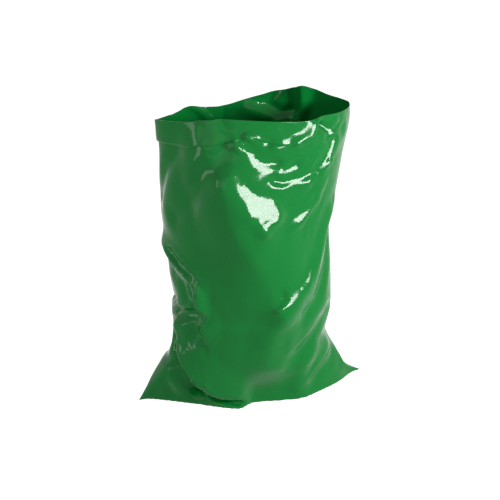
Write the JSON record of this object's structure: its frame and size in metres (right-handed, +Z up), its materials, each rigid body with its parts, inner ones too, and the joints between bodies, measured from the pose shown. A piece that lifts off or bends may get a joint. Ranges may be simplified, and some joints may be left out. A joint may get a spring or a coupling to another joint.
{
  "type": "bin bag",
  "caption": "Open refuse sack of glossy film standing on its welded bottom, with a turned-out rim and creased ears.",
  "frame": {"origin": "on the floor, at the middle of the bottom weld", "axes": "+X along the weld from the left ear to the right ear, -Y the front that the mouth dips towards, +Z up"},
  "size_m": [0.7, 0.4583, 0.8805],
  "materials": {
    "film": "glossy green polythene film"
  },
  "bodies": {
    "root": {"sack": "film"}
  },
  "joints": []
}
